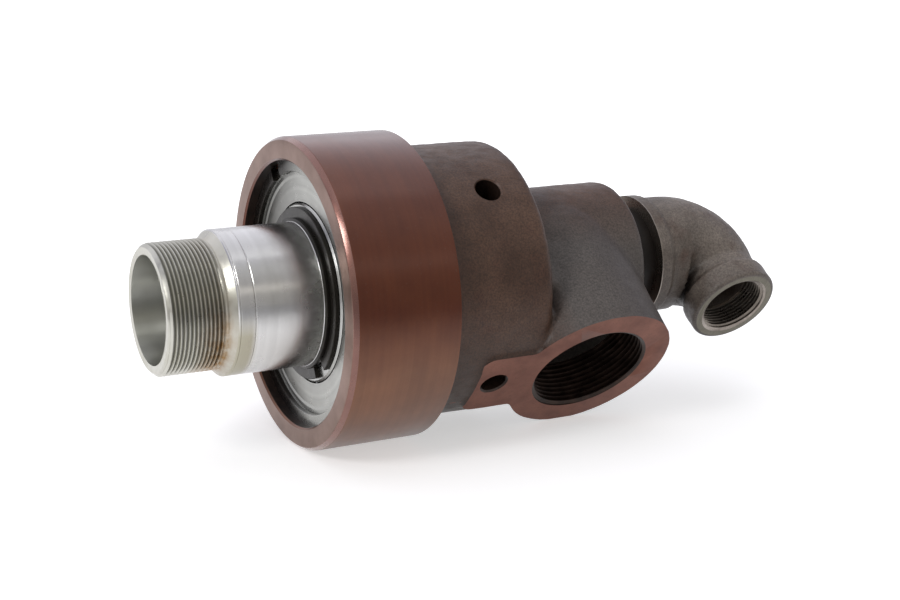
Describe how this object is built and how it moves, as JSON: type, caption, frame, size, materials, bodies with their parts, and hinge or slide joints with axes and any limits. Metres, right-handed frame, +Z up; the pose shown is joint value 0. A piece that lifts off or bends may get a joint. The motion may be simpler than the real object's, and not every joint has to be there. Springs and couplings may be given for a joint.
{
  "type": "rotary union",
  "caption": "Rotary union: hollow threaded rotor turning on ball bearings in a cast iron housing with a side port and a rear reducing elbow.",
  "frame": {"origin": "centre of the rotor's nose face, on the rotor's axis", "axes": "+X along the rotor's axis into the housing, +Z up while the union lies on its drum and its side port"},
  "size_m": [0.3862, 0.1785, 0.176],
  "materials": {
    "cast_iron": "sand-cast skin, machined faces with a red-brown rust-proofing film",
    "stainless": "turned, bright",
    "bearing_steel": "ground",
    "polished_steel": "polished",
    "pressed_steel": "satin sheet",
    "spring_steel": "blackened, oiled",
    "spring_wire": "drawn",
    "rubber": "moulded nitrile",
    "seat_steel": "lapped",
    "carbon": "lapped carbon",
    "black_iron": "black pipe, oiled",
    "malleable_iron": "malleable cast skin, machined threads"
  },
  "bodies": {
    "housing": {"housing": "cast_iron", "front_bearing_outer_race": "bearing_steel", "front_bearing_shields": "pressed_steel", "rear_bearing_outer_race": "bearing_steel", "rear_bearing_shields": "pressed_steel", "housing_retaining_ring": "spring_steel", "seal_springs": "spring_wire", "seal_drive_pins": "bearing_steel", "nipple": "black_iron", "elbow": "malleable_iron"},
    "rotor": {"rotor": "stainless", "front_bearing_inner_race": "bearing_steel", "rear_bearing_inner_race": "bearing_steel", "bearing_spacer": "bearing_steel", "rotor_front_retaining_ring": "spring_steel", "rotor_rear_retaining_ring": "spring_steel", "v_ring": "rubber", "seal_seat": "seat_steel", "seat_o_ring": "rubber"},
    "front_ball_train": {"front_bearing_balls": "polished_steel", "front_bearing_cage": "pressed_steel"},
    "rear_ball_train": {"rear_bearing_balls": "polished_steel", "rear_bearing_cage": "pressed_steel"},
    "floating_seal": {"carbon_seal_ring": "carbon", "seal_carrier": "stainless", "carrier_o_ring": "rubber"}
  },
  "joints": [
    {"name": "rotor_spin", "type": "hinge", "parent": "housing", "child": "rotor", "pos_m": [0, 0, 0], "axis": [1, 0, 0], "continuous": true},
    {"name": "front_train_spin", "type": "hinge", "parent": "housing", "child": "front_ball_train", "pos_m": [0.1047, 0, 0], "axis": [1, 0, 0], "continuous": true},
    {"name": "rear_train_spin", "type": "hinge", "parent": "housing", "child": "rear_ball_train", "pos_m": [0.1541, 0, 0], "axis": [1, 0, 0], "continuous": true},
    {"name": "seal_slide", "type": "slide", "parent": "housing", "child": "floating_seal", "axis": [1, 0, 0], "range_m": [0, 0.002], "stiffness_N_per_m": 6000, "springref_m": -0.004, "deforming": ["seal_springs"]}
  ],
  "couplings": [
    {"joint": "front_train_spin", "follows": "rotor_spin", "ratio": 0.4189},
    {"joint": "rear_train_spin", "follows": "rotor_spin", "ratio": 0.43417}
  ]
}
